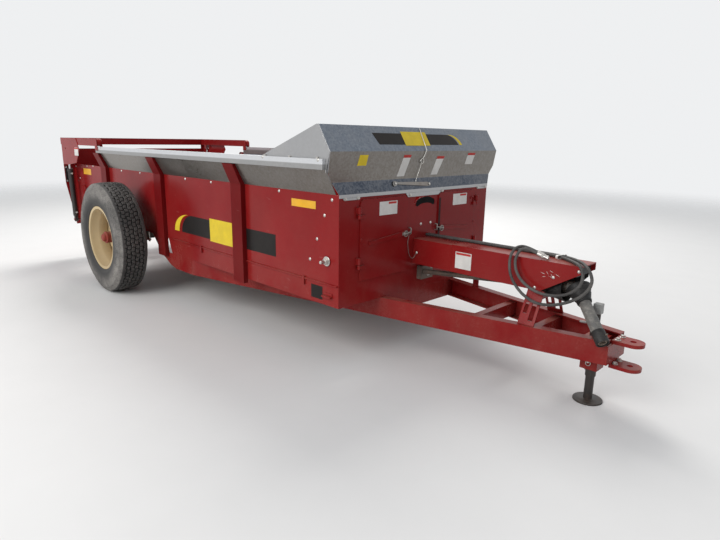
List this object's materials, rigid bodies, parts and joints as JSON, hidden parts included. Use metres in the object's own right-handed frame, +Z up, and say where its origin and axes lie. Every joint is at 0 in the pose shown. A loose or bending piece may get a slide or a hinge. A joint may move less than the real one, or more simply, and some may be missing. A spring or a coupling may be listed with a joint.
{
  "type": "manure spreader",
  "caption": "Towed single-axle manure spreader with a red steel load box, galvanised flares and front hood, apron floor, rear beater and hydraulic rear gate.",
  "frame": {"origin": "centre of the bounding box in plan, on the ground under the tyres and the jack foot", "axes": "+X forward to the hitch, +Y to the machine's left, +Z up"},
  "size_m": [6.375, 2.459, 1.577],
  "materials": {
    "red_paint": "gloss red paint, dusty",
    "galvanised": "galvanised sheet with light spangle",
    "boards": "treated boards, worn",
    "tyre_rubber": "dusty road tyre",
    "cream_paint": "cream wheel paint",
    "dark_steel": "dark worn steel",
    "rod_chrome": "chromed rod",
    "black_plastic": "black guard plastic",
    "hose_rubber": "hydraulic hose"
  },
  "bodies": {
    "chassis": {"frame_rails": "red_paint", "frame_sills": "red_paint", "cross_members": "red_paint", "hitch_plates": "red_paint", "axle_tube": "dark_steel", "floor_boards": "boards", "side_right": "red_paint", "side_left": "red_paint", "skirt_right": "red_paint", "skirt_left": "red_paint", "stakes_right": "red_paint", "stakes_left": "red_paint", "flare_right": "galvanised", "flare_left": "galvanised", "front_wall": "red_paint", "hood": "galvanised", "shaft_cover": "red_paint", "cover_stand": "red_paint", "input_shaft": "dark_steel", "line_shaft": "dark_steel", "drive_guard": "red_paint", "apron_loop": "dark_steel", "front_idler": "dark_steel", "rear_apron_shaft": "dark_steel", "rear_plate_right": "red_paint", "rear_plate_left": "red_paint", "gate_pivots": "red_paint", "jack": "dark_steel", "hose_a": "hose_rubber", "hose_b": "hose_rubber", "hose_couplers": "rod_chrome"},
    "wheel_r": {"tyre_right": "tyre_rubber", "wheel_right": "cream_paint"},
    "wheel_l": {"tyre_left": "tyre_rubber", "wheel_left": "cream_paint"},
    "front_door_r": {"door_right": "red_paint"},
    "front_door_l": {"door_left": "red_paint"},
    "beater_rotor": {"beater": "red_paint"},
    "rear_gate": {"gate": "red_paint", "gate_arms": "red_paint"},
    "cylinder_r": {"barrel_right": "dark_steel"},
    "cylinder_l": {"barrel_left": "dark_steel"},
    "ram_r": {"rod_right": "rod_chrome"},
    "ram_l": {"rod_left": "rod_chrome"},
    "pto_half": {"shaft_front": "black_plastic"}
  },
  "joints": [
    {"name": "wheel_right_spin", "type": "hinge", "parent": "chassis", "child": "wheel_r", "pos_m": [-1.3575, -1.09, 0.527], "axis": [0, 1, 0], "continuous": true},
    {"name": "wheel_left_spin", "type": "hinge", "parent": "chassis", "child": "wheel_l", "pos_m": [-1.3575, 1.09, 0.527], "axis": [0, 1, 0], "continuous": true},
    {"name": "beater_spin", "type": "hinge", "parent": "chassis", "child": "beater_rotor", "pos_m": [-2.8075, 0, 0.86], "axis": [0, 1, 0], "continuous": true},
    {"name": "door_right_hinge", "type": "hinge", "parent": "chassis", "child": "front_door_r", "pos_m": [1.6295, -0.658, 0.85], "axis": [0, 0, -1], "range_deg": [0, 110]},
    {"name": "door_left_hinge", "type": "hinge", "parent": "chassis", "child": "front_door_l", "pos_m": [1.6295, 0.658, 0.85], "axis": [0, 0, 1], "range_deg": [0, 110]},
    {"name": "gate_hinge", "type": "hinge", "parent": "chassis", "child": "rear_gate", "pos_m": [-2.0225, 0, 1.418], "axis": [0, 1, 0], "range_deg": [0, 28]},
    {"name": "cylinder_r_pivot", "type": "hinge", "parent": "chassis", "child": "cylinder_r", "pos_m": [-2.9775, -0.907, 0.5], "axis": [0, 1, 0], "range_deg": [0, 4.43]},
    {"name": "ram_r_slide", "type": "slide", "parent": "cylinder_r", "child": "ram_r", "axis": [-0.0478, 0, 0.9989], "range_m": [0, 0.47742]},
    {"name": "cylinder_l_pivot", "type": "hinge", "parent": "chassis", "child": "cylinder_l", "pos_m": [-2.9775, 0.907, 0.5], "axis": [0, 1, 0], "range_deg": [0, 4.43]},
    {"name": "ram_l_slide", "type": "slide", "parent": "cylinder_l", "child": "ram_l", "axis": [-0.0478, 0, 0.9989], "range_m": [0, 0.47742]},
    {"name": "pto_hinge", "type": "hinge", "parent": "chassis", "child": "pto_half", "pos_m": [2.7925, 0, 0.66], "axis": [-0.6157, -0.788, 0], "range_deg": [0, 30]}
  ],
  "couplings": [
    {"joint": "cylinder_r_pivot", "follows": "gate_hinge", "ratio": 0.15643},
    {"joint": "ram_r_slide", "follows": "gate_hinge", "m_per_rad": 0.97488},
    {"joint": "cylinder_l_pivot", "follows": "gate_hinge", "ratio": 0.15643},
    {"joint": "ram_l_slide", "follows": "gate_hinge", "m_per_rad": 0.97488}
  ]
}
